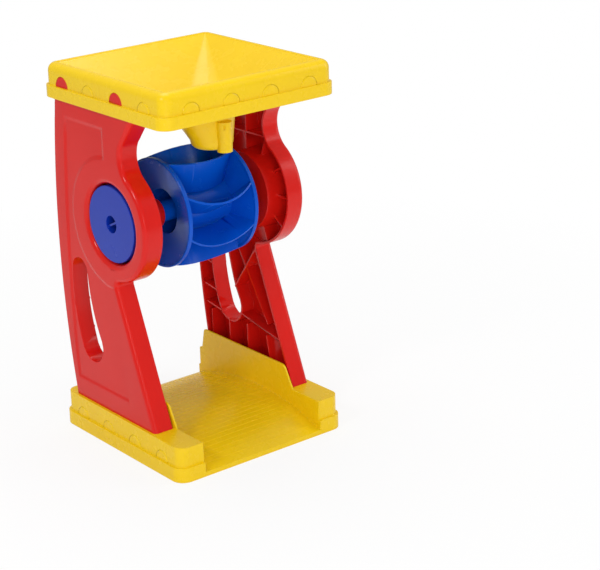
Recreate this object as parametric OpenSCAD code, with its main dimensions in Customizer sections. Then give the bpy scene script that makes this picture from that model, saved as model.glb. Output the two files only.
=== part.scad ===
// Sand wheel toy: a hopper tray above a free-turning scoop wheel, held by two
// side panels that stand in a base tray with a domed run-off floor.
// X runs along the axle, -Y is the front, Z is up.
// The origin is the middle of the base underside. All lengths are in mm.

/* [Whole toy] */
// Width and depth of both square trays, over their bands
tray_size = 200; // [190:1:215]
// Corner radius of the trays in plan
tray_corner_r = 13; // [11:0.5:18]
// How far a tray's band stands out from the wall above it
band_step = 2.5; // [1.5:0.1:3.5]
// Wall thickness of both trays
tray_wall = 2.2; // [1.6:0.1:2.8]
// Gap between a panel's face and the hopper wall in front of it
panel_gap = 0.8; // [0.4:0.1:1.2]

/* [Base tray] */
// Height of the band round the base
base_band_h = 14.5; // [10:0.5:20]
// Height of the side blocks that carry the panels
block_h = 34.5; // [28:0.5:40]
// Width of the side blocks over their band
block_w = 30; // [27:0.5:36]
// Height of the guard walls above the blocks
guard_rise = 23; // [12:0.5:32]
// Height of the floor's crown
floor_crown_h = 23; // [18:0.5:26]
// Height of the floor at its front and back lips
floor_lip_h = 5; // [3:0.5:8]
// Thickness of the stiffening ribs under the floor
base_rib = 2; // [1.5:0.1:3]

/* [Side panels] */
// Height of the hopper's lower edge, which covers the panel heads
hopper_z = 339; // [330:1:350]
// Thickness of the panels' faces and flanges
panel_wall = 2.4; // [2:0.1:3]
// Edge radius between face and flange
panel_edge_r = 5; // [4:0.25:6]
// Radius of the arched back edge
back_arc_r = 900; // [800:10:1200]
// Radius of the round hub ring
ring_r = 57; // [55:0.5:60]
// Radius of the concave neck between ring and head
neck_r = 26; // [22:0.5:30]
// Distance from the middle of the toy to the front of the foot
foot_front = 54; // [48:1:60]
// Radius of the slot's upper end
slot_top_r = 13; // [11:0.5:14]
// Radius of the slot's lower end
slot_low_r = 18; // [14:0.5:19]
// Depth of the sunk field in the panel face
field_depth = 1.2; // [0.6:0.1:1.6]
// Thickness of the panels' inner ribs
panel_rib = 1.8; // [1.4:0.1:2.4]

/* [Wheel] */
// Height of the axle above the ground
axle_z = 230; // [224:1:236]
// Distance of the axle behind the middle of the toy
axle_y = 3; // [0:0.5:6]
// Width of the wheel over its discs
wheel_w = 82; // [74:1:88]
// Radius of the discs
disc_r = 53.5; // [50:0.5:55]
// Radius of the scoop lips half-way between the discs
lip_r = 57; // [55:0.5:60]
// Number of scoops
scoop_count = 8; // [6:1:10]
// Depth of each scoop's curve
scoop_bow = 14; // [10:0.5:18]
// Thickness of the wheel's sheets
sheet = 2; // [1.6:0.1:2.4]
// How far the discs are dished in from rim to hub
disc_dish = 8; // [5:0.5:10]
// Outer radius of the hub drum
drum_r = 24; // [22:0.5:27]
// Radius of the axle rod
rod_r = 5; // [4:0.25:5.5]

/* [Hub caps] */
// Radius of the cap discs
cap_r = 37.3; // [35:0.1:37.6]
// Thickness of the cap discs
cap_t = 2.6; // [2:0.1:3]
// How far a cap's face lies below the panel face
cap_sink = 1.5; // [0.5:0.1:3]
// Radius of the bearing journals
journal_r = 8; // [7.5:0.1:8.5]
// Radial clearance of a journal in its bearing
journal_gap = 0.08; // [0.05:0.01:0.1]

/* [Hopper] */
// Height of the hopper's lower band
hopper_band_h = 12; // [10:0.5:15]
// Height of the hopper over all
hopper_h = 33; // [30:0.5:38]
// Shoulder radius of the hopper's outer edge
shoulder_r = 8; // [6:0.5:8.5]
// Distance of the spout in front of the middle
spout_front = 35; // [30:1:38]
// Outer radius of the spout
spout_r = 20.5; // [18:0.5:22]
// Height of the spout's mouth above the wheel's centre
spout_rise = 65; // [64:0.5:68]
// Radius of the half tube on the front of the spout
pipe_r = 7.3; // [6:0.1:8]
// Radius of the round panel tabs that show in the hopper's side windows
tab_r = 10.3; // [8:0.1:11]

/* [Hidden] */
// Named rounding fineness: large, middle and small radii
fine_large = 96;
fine_mid = 64;
fine_small = 32;
// Overrun of cuts and overlap of joined pieces
over = tray_wall * 0.1;
// Play of plugs and tabs in their openings
plug_gap = panel_gap * 0.3;

// Trays
tray_half = tray_size / 2;
wall_half = tray_half - band_step;
tray_core = tray_half - tray_corner_r;
channel_w = tray_size - 2 * block_w;
total_h = hopper_z + hopper_h;

// Panels
panel_face = wall_half - tray_wall - panel_gap;
guard_gap = panel_wall * 0.75;
panel_inner = channel_w / 2 + tray_wall + guard_gap;
panel_depth = panel_face - panel_inner;
panel_rib_h = panel_depth - panel_wall * 0.85;
panel_top = hopper_z + hopper_band_h - tray_wall + plug_gap;
tab_floor = hopper_z + hopper_band_h;
tab_pitch = tray_size * 0.225;
tab_y = [-tab_pitch / 2, tab_pitch * 1.5];

// Hub of the panel: cup, bearing boss and rounded rim
cup_r = cap_r + tray_wall * 0.8;
cup_wall = panel_wall * 0.85;
cup_taper = cup_wall;
cup_floor = panel_inner - panel_wall * 4.4;
boss_r = journal_r * 1.75;
boss_end = wheel_w / 2 - sheet / 4;
rim_round = panel_wall * 1.45;

// Field in the panel face
field_ring_r = ring_r * 1.1;
field_arc_r = back_arc_r * 1.55;
field_top = hopper_z - panel_edge_r * 3.2;
field_low = block_h + panel_edge_r * 3.9;

// Wheel
wheel_half = wheel_w / 2;
disc_rim = sheet * 2;
bead = sheet * 1.1;
hole_r = drum_r - sheet;
socket_r = journal_r;
tube_r = journal_r + sheet * 1.1;
tube_end = boss_end - sheet / 4;
socket_end = wheel_half * 0.35;
scoop_pitch = 360 / scoop_count;
scoop_phase = 17;

// Caps
cap_face = panel_face - cap_sink;
cap_back = cap_face - cap_t;
cap_lip = cap_t * 1.7;
stem_r = journal_r * 1.3;
shoulder_gap = sheet / 4;
rod_half = cup_floor + cap_t * 4;

// Hopper
spout_z = axle_z + spout_rise;
spout_turn = spout_r * 0.34;
cone_foot = spout_z + spout_r * 0.46;
waist_r = spout_r * 1.53;
waist_front = spout_front * 0.62;
waist_z = hopper_z - hopper_h / 3;

// Part to draw

yellow = [0.95, 0.78, 0.15];
red = [0.84, 0.15, 0.13];
blue = [0.07, 0.20, 0.62];

// Points along an arc from angle a0 to a1
function arc(c, r, a0, a1, n) = [
  for (i = [0:n])
    let (a = a0 + (a1 - a0) * i / n)
    c + r * [cos(a), sin(a)]
];

// Unit vector from p to q
function dir(p, q) = (q - p) / norm(q - p);

// The same vector turned a quarter to the left
function left(v) = [-v[1], v[0]];

// Square with round corners, half its width given
module soft_square(half, r) {
  square([2 * half, 2 * (half - r)], center = true);
  square([2 * (half - r), 2 * half], center = true);
  for (x = [-1, 1])
    for (y = [-1, 1])
      translate([x * (half - r), y * (half - r)])
        circle(r = r, $fn = fine_small);
}

// Slab with round corners between two heights
module slab(half, r, z0, z1) {
  translate([0, 0, z0])
    linear_extrude(height = z1 - z0)
      soft_square(half, r);
}

// Box from corner p to corner q
module box(p, q) {
  translate(p)
    cube(q - p);
}

// Straight bar between two points in the plane
module bar(p, q, t) {
  d = q - p;
  translate(p)
    rotate(atan2(d[1], d[0]))
      translate([0, -t / 2])
        square([norm(d), t]);
}

// Wall of a tray: the profile runs round a square with round corners
module round_tray(core) {
  for (a = [0:90:270])
    rotate(a) {
      translate([core, core, 0])
        rotate_extrude(angle = 90, $fn = fine_mid)
          children();
      translate([core, core, 0])
        rotate([90, 0, 0])
          linear_extrude(height = 2 * core)
            children();
    }
}

// Hopper

hopper_band_u = tray_corner_r;
hopper_wall_u = tray_corner_r - band_step;
hopper_turn_u = hopper_wall_u - shoulder_r;
rim_u = tray_corner_r * 0.04;
rim_r = hopper_turn_u - rim_u;
rim_end = 60;
dish_z = total_h - rim_r + rim_r * cos(rim_end);
dish_u = tray_corner_r * 0.12;

// Half section of the hopper's wall and rim
hopper_profile = concat(
  [
    [hopper_band_u, hopper_z],
    [hopper_band_u, tab_floor],
    [hopper_wall_u, tab_floor]
  ],
  arc([hopper_turn_u, total_h - shoulder_r], shoulder_r, 0, 90, 6),
  arc([hopper_turn_u, total_h - rim_r], rim_r, 90 + rim_end / 2, 90 + rim_end, 1),
  [
    [hopper_turn_u - rim_r * sin(rim_end), dish_z - tray_wall],
    [hopper_turn_u, dish_z - tray_wall]
  ],
  arc([hopper_turn_u, total_h - shoulder_r], shoulder_r - tray_wall, 78, 0, 5),
  [
    [hopper_wall_u - tray_wall, tab_floor - tray_wall],
    [hopper_band_u - tray_wall, tab_floor - tray_wall],
    [hopper_band_u - tray_wall, hopper_z]
  ]
);

// Half section of the spout
spout_profile = concat(
  arc([spout_r - spout_turn, spout_z + spout_turn], spout_turn, -90, 0, 5),
  [
    [spout_r, cone_foot],
    [spout_r - tray_wall, cone_foot]
  ],
  arc([spout_r - spout_turn, spout_z + spout_turn], spout_turn - tray_wall, 0, -90, 5)
);

// Solid funnel: from the square rim down to a round waist, and from there leaning
// forward to the spout. It stands out by u beyond the rim's corners; its rounds are
// pulled in by d and lifted
module funnel(u, low, high, d, lift) {
  hull() {
    slab(tray_core + u, u, low, high);
    waist(d, lift);
  }
  hull() {
    waist(d, lift);
    translate([0, -spout_front, cone_foot - tray_wall + lift])
      cylinder(r = spout_r - over - d, h = over, $fn = fine_mid);
  }
}

module waist(d, lift) {
  translate([0, -waist_front, waist_z + lift])
    cylinder(r = waist_r - d, h = over, $fn = fine_mid);
}

module hopper_tray() {
  color(yellow)
    difference() {
      union() {
        round_tray(tray_core)
          polygon(hopper_profile);
        funnel(dish_u, dish_z - tray_wall * 1.1, dish_z, 0, 0);
        translate([0, -spout_front, 0])
          rotate_extrude($fn = fine_mid)
            polygon(spout_profile);
        spout_pipe();
        hopper_rests();
      }
      // the open inside
      funnel(dish_u * 2 / 3, dish_z, total_h + over, tray_wall * 0.8, tray_wall * 0.6);
      translate([0, -spout_front, cone_foot - spout_r * 0.3])
        cylinder(r = spout_r - tray_wall, h = spout_r * 0.3 - tray_wall / 4, $fn = fine_mid);
      // bore of the half tube and its vent
      translate([0, pipe_y, pipe_low - over])
        cylinder(r = pipe_r - tray_wall, h = pipe_top - tray_wall - pipe_low, $fn = fine_small);
      translate([0, pipe_y, pipe_top - pipe_r * 0.6])
        rotate(-36)
          translate([0, -pipe_r, 0])
            cube([tray_wall * 0.8, pipe_r, pipe_r * 0.6], center = true);
      hopper_windows();
    }
}

pipe_y = -spout_front - spout_r + tray_wall / 4;
pipe_low = spout_z - pipe_r * 0.12;
pipe_top = cone_foot + pipe_r * 2.5;

// Small tube that leans against the front of the spout
module spout_pipe() {
  difference() {
    translate([0, pipe_y, pipe_low])
      cylinder(r = pipe_r, h = pipe_top - pipe_low, $fn = fine_small);
    translate([0, -spout_front, spout_z - pipe_r])
      cylinder(r = spout_r - tray_wall, h = spout_r * 2, $fn = fine_mid);
  }
}

// Ribs inside the hopper that stand on the panels' top flanges
module hopper_rests() {
  for (s = [-1, 1])
    for (y = [-tray_half * 0.42, tray_half * 0.05, tray_half * 0.5])
      translate([s * (panel_inner + wall_half) / 2 - s * tray_wall / 4, y, 0])
        translate([0, 0, (panel_top + total_h - shoulder_r) / 2])
          cube(
            [
              wall_half - panel_inner - tray_wall / 2,
              tray_wall,
              total_h - shoulder_r - panel_top
            ],
            center = true
          );
}

// Half-round openings in the side walls for the panels' tabs
module hopper_windows() {
  intersection() {
    for (y = tab_y)
      translate([-tray_size, y, tab_floor])
        rotate([0, 90, 0])
          cylinder(r = tab_r + plug_gap, h = 2 * tray_size, $fn = fine_mid);
    union() {
      for (s = [-1, 1])
        translate([s * (wall_half - tray_wall / 2), 0, tab_floor + tab_r])
          cube([tray_wall + band_step, tray_size, 2 * tab_r], center = true);
    }
  }
}

// Base

base_r = tray_corner_r - band_step;
floor_arc_r = (pow(tray_half, 2) + pow(floor_crown_h - floor_lip_h, 2))
  / (2 * (floor_crown_h - floor_lip_h));
guard_front = foot_front + block_h * 0.09;
guard_lean = 61;
guard_round = guard_rise * 0.35;

// Outline of a guard wall seen from the side
guard_outline = concat(
  [
    [-tray_half + over, 0],
    [tray_half - over, 0],
    [tray_half - over, base_band_h - over],
    [wall_half - over, base_band_h - over],
    [wall_half - over, block_h - over],
    [wall_half - tray_wall * 2, block_h - over]
  ],
  arc(
    [
      wall_half - tray_wall * 4 - guard_round / 3,
      block_h + guard_rise - guard_round / 3
    ],
    guard_round / 3, 10, 90, 2
  ),
  arc(
    [
      -guard_front + guard_rise / tan(guard_lean) + guard_round * tan((90 - guard_lean / 2) / 2),
      block_h + guard_rise - guard_round
    ],
    guard_round, 90, 90 + guard_lean, 4
  ),
  [
    [-guard_front, block_h - over],
    [-wall_half + over, block_h - over],
    [-wall_half + over, base_band_h - over],
    [-tray_half + over, base_band_h - over]
  ]
);

module base_tray() {
  color(yellow)
    difference() {
      union() {
        base_blocks();
        for (s = [-1, 1])
          translate([s * (channel_w + tray_wall) / 2 - tray_wall / 2, 0, 0])
            rotate([90, 0, 90])
              linear_extrude(height = tray_wall)
                polygon(guard_outline);
        base_floor();
      }
      // sockets for the panels' plugs
      for (s = [-1, 1])
        translate([s * plug_x, 0, 0])
          plug_slab(plug_gap, block_h - tray_wall - over, block_h + over);
    }
}

// Hollow blocks left and right of the channel
module base_blocks() {
  difference() {
    union() {
      slab(tray_half, tray_corner_r, 0, base_band_h);
      slab(wall_half, base_r, 0, block_h);
    }
    slab(tray_half - tray_wall, tray_corner_r - tray_wall, -over, base_band_h - tray_wall);
    slab(wall_half - tray_wall, base_r - tray_wall, -over, block_h - tray_wall);
    box(
      [-channel_w / 2 - tray_wall / 2, -tray_size, -over],
      [channel_w / 2 + tray_wall / 2, tray_size, block_h + over]
    );
  }
}

// Domed floor with its lips and the ribs under it
module base_floor() {
  reach = channel_w / 2 + tray_wall / 2;
  intersection() {
    floor_barrel(floor_arc_r);
    difference() {
      box([-reach, -tray_half, 0], [reach, tray_half, floor_crown_h]);
      difference() {
        intersection() {
          floor_barrel(floor_arc_r - tray_wall);
          box(
            [-tray_half, -tray_half + tray_wall, -over],
            [tray_half, tray_half - tray_wall, floor_crown_h]
          );
        }
        for (y = [-0.5, 0, 0.5])
          translate([-tray_half, y * tray_half - base_rib / 2, 0])
            cube([tray_size, base_rib, floor_crown_h]);
      }
    }
  }
}

module floor_barrel(r) {
  translate([-tray_half, 0, floor_crown_h - floor_arc_r])
    rotate([0, 90, 0])
      cylinder(r = r, h = tray_size, $fn = fine_large * 4);
}

// Side panels

axle_at = [axle_y, axle_z];
back_top = [tray_half - panel_wall / 4 - back_arc_r, axle_z - ring_r * 0.45];
neck_angle = 55;
head_angle = 38;
// Neighbouring stretches of the edge cross by a bite, and run on into each other
bite = panel_edge_r * 0.01;
run_on = ring_r * 0.1;
run_on_angle = 5;
neck_reach = ring_r + neck_r - bite;
neck_at = axle_at + neck_reach * [cos(180 - neck_angle), sin(180 - neck_angle)];
head_turn = neck_at + (neck_r - bite) * [cos(head_angle), sin(head_angle)];
leg_foot = [-foot_front, block_h];
leg_head = [axle_y - ring_r * 0.04, axle_z - ring_r];
leg_dir = dir(leg_foot, leg_head);
crotch_r = panel_edge_r;

// Centre of the small round between ring and leg: on a line beside the leg
// and outside the ring
crotch_base = leg_foot + (crotch_r - bite) * left(leg_dir) - axle_at;
crotch_b = crotch_base * leg_dir;
crotch_c = crotch_base * crotch_base - pow(ring_r + crotch_r - bite, 2);
crotch_at = axle_at + crotch_base + leg_dir * (-crotch_b - sqrt(pow(crotch_b, 2) - crotch_c));
crotch_angle = atan2(crotch_at[1] - axle_z, crotch_at[0] - axle_y) + 360;

// The outline runs past the foot and the head, where it is cut off square
run_low = block_h - foot_front * 0.2;
run_high = panel_top + panel_edge_r * 2;
leg_top = crotch_at - (crotch_r - bite) * left(leg_dir);
head_dir = [sin(head_angle), -cos(head_angle)];
head_run = (run_high - head_turn[1]) / cos(head_angle);
leg_run = (leg_top[1] - run_low) / leg_dir[1];
crotch_from = atan2(-leg_dir[0], leg_dir[1]);

// Section of the panel's edge: w wide, h high, its outer corner rounded with radius e.
// It runs on above and below, where panel_solid cuts it off
module edge_section(w, e, h) {
  translate([e, -over])
    square([w - e, h + 2 * over]);
  translate([0, -over])
    square([w, h - e + over + bite]);
  translate([e, h - e + bite])
    circle(r = e, $fn = fine_small);
}

// Straight stretch of edge from p along v, the panel to its left
module edge_line(p, v, length) {
  translate(p)
    rotate(atan2(v[1], v[0]))
      rotate([90, 0, 90])
        linear_extrude(height = length)
          children();
}

// Bent stretch of edge about p from angle a0 to a1
module edge_arc(p, a0, a1) {
  translate(p)
    rotate_extrude(angle = a1 - a0, start = a0, $fn = fine_large)
      children();
}

// Inner points of the panel, a margin m away from its front edge
function core_outline(m) = concat(
  [
    head_turn - head_run * head_dir + m * left(head_dir),
    head_turn + m * left(head_dir)
  ],
  arc(neck_at, neck_r + m, head_angle - 8, -neck_angle, 3),
  [
    axle_at + ring_r * [-0.25, 0.1],
    crotch_at + (crotch_r + m) * [cos(30), sin(30)],
    leg_top - m * left(leg_dir),
    leg_top - leg_run * leg_dir - m * left(leg_dir),
    [tray_size, run_low],
    [tray_size, run_high]
  ]
);

// Solid with the panel's outline, pulled in by d on all sides but the inner one
module panel_solid(d, z0, low, high) {
  e = panel_edge_r - d;
  h = panel_face - d - z0;
  translate([0, 0, z0])
    intersection() {
      union() {
        edge_line(
          head_turn - head_run * head_dir + d * left(head_dir), head_dir, head_run + run_on
        )
          edge_section(ring_r / 2, e, h);
        edge_arc(neck_at, -neck_angle, head_angle)
          translate([neck_r + d, 0])
            edge_section(ring_r * 0.4, e, h);
        edge_arc(axle_at, 180 - neck_angle - run_on_angle, crotch_angle + run_on_angle)
          translate([ring_r - d, 0])
            mirror([1, 0])
              edge_section(ring_r * 0.9, e, h);
        edge_arc(crotch_at, crotch_from, crotch_angle - 180)
          translate([crotch_r + d, 0])
            edge_section(ring_r * 0.25, e, h);
        edge_line(leg_top + run_on * leg_dir - d * left(leg_dir), -leg_dir, leg_run + run_on)
          edge_section(ring_r / 2, e, h);
        translate([0, 0, -over])
          linear_extrude(height = h + 2 * over)
            polygon(core_outline(ring_r * 0.2));
      }
      translate(back_top)
        rotate(180)
          rotate_extrude($fn = fine_large * 8)
            translate([back_arc_r - d, 0])
              mirror([1, 0])
                edge_section(back_arc_r / 2, e, h);
      box([-tray_size, low, 0], [tray_size, high, h]);
    }
}

// Centre line of the slot, an arc beside the hub
slot_top = axle_at + ring_r * [1.053, -1.061];
slot_bend_r = ring_r * 3.1;
slot_from_angle = 1;
slot_to_angle = -23.5;
slot_at = slot_top - slot_bend_r * [cos(slot_from_angle), sin(slot_from_angle)];

// Outline of the slot, its side lines moved out by d
function slot_outline(d) = concat(
  [
    for (i = [0:8])
      let (
        t = i / 8,
        a = slot_to_angle + (slot_from_angle - slot_to_angle) * t,
        r = slot_low_r + (slot_top_r - slot_low_r) * t
      )
      slot_at + (slot_bend_r + r + d) * [cos(a), sin(a)]
  ],
  arc(slot_top, slot_top_r + d, slot_from_angle + 20, slot_from_angle + 160, 7),
  [
    for (i = [8:-1:0])
      let (
        t = i / 8,
        a = slot_to_angle + (slot_from_angle - slot_to_angle) * t,
        r = slot_low_r + (slot_top_r - slot_low_r) * t
      )
      slot_at + (slot_bend_r - r - d) * [cos(a), sin(a)]
  ],
  arc(
    slot_at + slot_bend_r * [cos(slot_to_angle), sin(slot_to_angle)],
    slot_low_r + d, slot_to_angle + 200, slot_to_angle + 340, 7
  )
);

// Sunk field of the face: between back border, head, leg border and hub ring
module field_area(d) {
  difference() {
    intersection() {
      translate([tray_half * 0.807 - field_arc_r, axle_z - ring_r * 1.14])
        circle(r = field_arc_r + d, $fn = fine_large * 8);
      polygon([
        [-foot_front * 0.24 - d, field_low - d],
        [tray_size, field_low - d],
        [tray_size, field_top + d],
        [axle_y + ring_r * 0.07 - d, field_top + d],
        [axle_y + ring_r * 0.07 - d, axle_z],
        [axle_y - d, axle_z - ring_r]
      ]);
    }
    translate(axle_at)
      circle(r = field_ring_r - d, $fn = fine_large);
  }
}

// The panel's area in its own plane, pulled in by d
module panel_region(d) {
  intersection() {
    union() {
      difference() {
        polygon([
          head_turn - head_run * head_dir + d * left(head_dir),
          head_turn + d * left(head_dir),
          neck_at,
          axle_at,
          leg_head - d * left(leg_dir),
          leg_top - leg_run * leg_dir - d * left(leg_dir),
          [tray_size, run_low],
          [tray_size, run_high]
        ]);
        translate(neck_at)
          circle(r = neck_r + d, $fn = fine_large);
      }
      translate(axle_at)
        circle(r = ring_r - d, $fn = fine_large);
    }
    translate(back_top)
      circle(r = back_arc_r - d, $fn = fine_large * 8);
    translate([-tray_half, block_h + d])
      square([tray_size, panel_top - block_h - 2 * d]);
  }
}

// Rib lines on the inner side of the panel
module rib_lines() {
  t = panel_rib;
  ring_low = axle_z - ring_r;
  leg_h = ring_low - block_h;
  // spokes round the cup
  for (a = [78, 112, 146, 180, 214, 248])
    translate(axle_at)
      rotate(a)
        translate([cup_r, -t / 2])
          square([ring_r - cup_r, t]);
  // head: upright and cross ribs
  bar([axle_y + ring_r * 0.15, axle_z + cup_r], [axle_y + ring_r * 0.15, run_high], t);
  bar([-ring_r, axle_z + ring_r * 0.98], [tray_half, axle_z + ring_r * 0.98], t);
  bar([axle_y + ring_r * 0.95, axle_z], [axle_y + ring_r * 0.95, run_high], t);
  // leg: zigzag between slot and front flange
  bar([axle_y - ring_r * 0.1, ring_low], [axle_y + ring_r * 0.9, ring_low - leg_h * 0.56], t);
  bar([axle_y + ring_r * 0.6, ring_low], [axle_y - ring_r * 0.3, ring_low - leg_h * 0.6], t);
  bar([-foot_front, ring_low - leg_h * 0.72], [axle_y + ring_r * 0.8, ring_low - leg_h * 0.57], t);
  bar([-foot_front * 0.2, ring_low - leg_h * 0.69], [-foot_front * 0.35, block_h], t);
  // short ribs behind and below the slot
  for (k = [0.1, 0.3, 0.5, 0.64])
    bar([slot_top[0], ring_low - leg_h * k], [tray_half, ring_low - leg_h * (k - 0.04)], t);
  for (k = [0.2, 0.5, 0.8])
    bar([tray_half * k, block_h], [tray_half * k, ring_low - leg_h * 0.66], t);
}

// Panel on the right-hand side, drawn in its own plane: x back, y up, z outwards
module panel_plate() {
  difference() {
    union() {
      difference() {
        panel_solid(0, panel_inner, block_h, panel_top);
        panel_solid(panel_wall, panel_inner - over, block_h + panel_wall, panel_top - panel_wall);
      }
      // ribs, up to just below the flange
      translate([0, 0, panel_face - panel_wall - over - panel_rib_h + panel_wall])
        linear_extrude(height = panel_rib_h - panel_wall + 2 * over)
          intersection() {
            panel_region(panel_wall / 2);
            rib_lines();
          }
      // floor of the sunk field
      translate([0, 0, panel_face - panel_wall - field_depth])
        linear_extrude(height = field_depth + over)
          field_area(field_depth);
      // collar of the slot
      translate([0, 0, panel_inner + panel_wall])
        linear_extrude(height = panel_depth - panel_wall * 1.5)
          polygon(slot_outline(panel_wall));
      hub_cup();
      panel_tabs();
      panel_plug();
    }
    translate([0, 0, panel_face - field_depth])
      linear_extrude(height = field_depth + over)
        field_area(0);
    translate([0, 0, panel_inner])
      linear_extrude(height = panel_depth + over)
        polygon(slot_outline(0));
    hub_bore();
  }
}

// Cup behind the hub cap, with the bearing boss in its floor
module hub_cup() {
  translate([axle_y, axle_z, 0])
    rotate_extrude($fn = fine_large)
      polygon([
        [0, boss_end],
        [boss_r, boss_end],
        [boss_r, cup_floor],
        [cup_r + cup_wall - cup_taper, cup_floor],
        [cup_r + cup_wall, panel_face - panel_wall],
        [cup_r + cup_wall + rim_round, panel_face - panel_wall],
        [cup_r + cup_wall + rim_round, panel_face],
        [0, panel_face]
      ]);
}

// Inside of the cup, its rounded rim and the bearing bore
module hub_bore() {
  translate([axle_y, axle_z, 0])
    rotate_extrude($fn = fine_large)
      polygon(concat(
        [
          [0, boss_end - over],
          [journal_r + journal_gap, boss_end - over],
          [journal_r + journal_gap, cup_floor + panel_wall],
          [cup_r - cup_taper, cup_floor + panel_wall]
        ],
        arc([cup_r + rim_round, panel_face - rim_round], rim_round, 180, 90, 5),
        [
          [cup_r + rim_round, panel_face + over],
          [0, panel_face + over]
        ]
      ));
}

// Round tabs that show in the hopper's side windows
module panel_tabs() {
  for (y = tab_y) {
    translate([y - tab_r + over, panel_top - panel_wall, panel_face - panel_wall])
      cube([2 * (tab_r - over), tab_floor + plug_gap - panel_top + panel_wall, panel_wall]);
    intersection() {
      translate([y, tab_floor, panel_face - panel_wall])
        cylinder(r = tab_r, h = wall_half - plug_gap - panel_face + panel_wall, $fn = fine_mid);
      translate([y - tab_r, tab_floor + plug_gap - over, 0])
        cube([2 * tab_r, 2 * tab_r, tray_size]);
    }
  }
}

plug_w = panel_depth - panel_wall * 3;
plug_x = panel_inner + panel_wall * 1.9 + plug_w / 2;
plug_front = -foot_front * 0.82;
plug_back = tray_half * 0.76;

// Plug's outline between two heights, grown by d
module plug_slab(d, z0, z1) {
  translate([-plug_w / 2 - d, plug_front - d, z0])
    cube([plug_w + 2 * d, plug_back - plug_front + 2 * d, z1 - z0]);
}

// Hollow plug under the foot
module panel_plug() {
  rotate([-90, -90, 0])
    translate([plug_x, 0, 0])
      difference() {
        plug_slab(0, base_band_h, block_h + over);
        plug_slab(-panel_wall, base_band_h - over, block_h + over * 2);
      }
}

module side_panel(side) {
  color(red)
    mirror([side < 0 ? 1 : 0, 0, 0])
      rotate([90, 0, 90])
        panel_plate();
}

// Wheel, drawn about the axle

module on_axle() {
  translate([0, axle_y, axle_z])
    children();
}

// Turned piece: the profile gives radius and place along X
module turned(p) {
  rotate([0, 90, 0])
    rotate_extrude($fn = fine_large)
      polygon(p);
}

// Inner side of a disc, from hub to rim
disc_inner = wheel_half - sheet * 1.5;
disc_hub = disc_inner - disc_dish + sheet / 2;
disc_slope = (disc_inner - disc_hub) / (disc_r - bead - hole_r);

// Half section of the space between the discs, out to the scoop lips
barrel_profile = concat(
  [
    [hole_r, -disc_hub],
    [disc_r - bead, -disc_inner],
    [disc_r - bead, disc_rim - wheel_half]
  ],
  [
    for (i = [0:8])
      let (x = (disc_rim - wheel_half) * (1 - i / 4))
      [disc_r + (lip_r - disc_r) * cos(90 * x / (wheel_half - disc_rim)), x]
  ],
  [
    [disc_r - bead, wheel_half - disc_rim],
    [disc_r - bead, disc_inner],
    [hole_r, disc_hub]
  ]
);

scoop_half = wheel_half - sheet;
scoop_arc_r = (pow(scoop_half, 2) + pow(scoop_bow, 2)) / (2 * scoop_bow);

module scoop_drum() {
  color(blue)
    on_axle() {
      intersection() {
        turned(barrel_profile);
        union() {
          turned([
            [hole_r, -wheel_half],
            [drum_r, -wheel_half],
            [drum_r, wheel_half],
            [hole_r, wheel_half]
          ]);
          for (i = [0:scoop_count - 1])
            rotate([scoop_phase + i * scoop_pitch, 0, 0])
              scoop_sheet();
        }
      }
      hub_web();
    }
}

// One scoop: a curved sheet standing out from the drum
module scoop_sheet() {
  translate([0, 0, (hole_r + drum_r) / 2])
    linear_extrude(height = lip_r)
      intersection() {
        translate([0, scoop_arc_r - scoop_bow])
          difference() {
            circle(r = scoop_arc_r + sheet / 2, $fn = fine_large * 2);
            circle(r = scoop_arc_r - sheet / 2, $fn = fine_large * 2);
          }
        translate([-wheel_half, -lip_r])
          square([wheel_w, lip_r + sheet]);
      }
}

// Web in the middle of the drum with the sockets for the caps' journals
module hub_web() {
  turned([
    [rod_r, -socket_end],
    [socket_r, -socket_end],
    [socket_r, -tube_end],
    [tube_r, -tube_end],
    [tube_r, -sheet / 2],
    [hole_r + over, -sheet / 2],
    [hole_r + over, sheet / 2],
    [tube_r, sheet / 2],
    [tube_r, tube_end],
    [socket_r, tube_end],
    [socket_r, socket_end],
    [rod_r, socket_end]
  ]);
}

module wheel_disc(side) {
  color(blue)
    on_axle()
      mirror([side < 0 ? 1 : 0, 0, 0])
        turned([
          [hole_r, disc_hub],
          [disc_r - bead, disc_inner],
          [disc_r - bead, wheel_half - disc_rim],
          [disc_r, wheel_half - disc_rim],
          [disc_r, wheel_half - sheet / 4],
          [disc_r - sheet / 4, wheel_half],
          [disc_r - bead + sheet / 4, wheel_half],
          [disc_r - bead, wheel_half - sheet / 4],
          [disc_r - bead, disc_inner + sheet],
          [hole_r, disc_hub + sheet]
        ]);
}

module axle() {
  color(blue)
    on_axle()
      turned([
        [0, -rod_half],
        [rod_r - sheet / 4, -rod_half],
        [rod_r, sheet / 4 - rod_half],
        [rod_r, rod_half - sheet / 4],
        [rod_r - sheet / 4, rod_half],
        [0, rod_half]
      ]);
}

module hub_cap(side) {
  color(blue)
    on_axle()
      mirror([side < 0 ? 1 : 0, 0, 0]) {
        turned([
          [rod_r, socket_end],
          [journal_r, socket_end],
          [journal_r, cup_floor + panel_wall + shoulder_gap],
          [stem_r, cup_floor + panel_wall + shoulder_gap],
          [stem_r, cap_back],
          [cap_r - sheet, cap_back],
          [cap_r - sheet, cap_back - cap_lip],
          [cap_r, cap_back - cap_lip],
          [cap_r, cap_face - sheet / 4],
          [cap_r - sheet / 4, cap_face],
          [stem_r - sheet, cap_face],
          [stem_r - sheet, rod_half + sheet],
          [rod_r, rod_half + sheet]
        ]);
        cap_bar();
      }
}

// Bar across the hole in the cap
module cap_bar() {
  translate([cap_back - sheet, 0, 0])
    rotate([-25, 0, 0])
      translate([0, -stem_r + sheet / 2, -sheet / 2])
        cube([cap_t, 2 * stem_r - sheet, sheet]);
}

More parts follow.
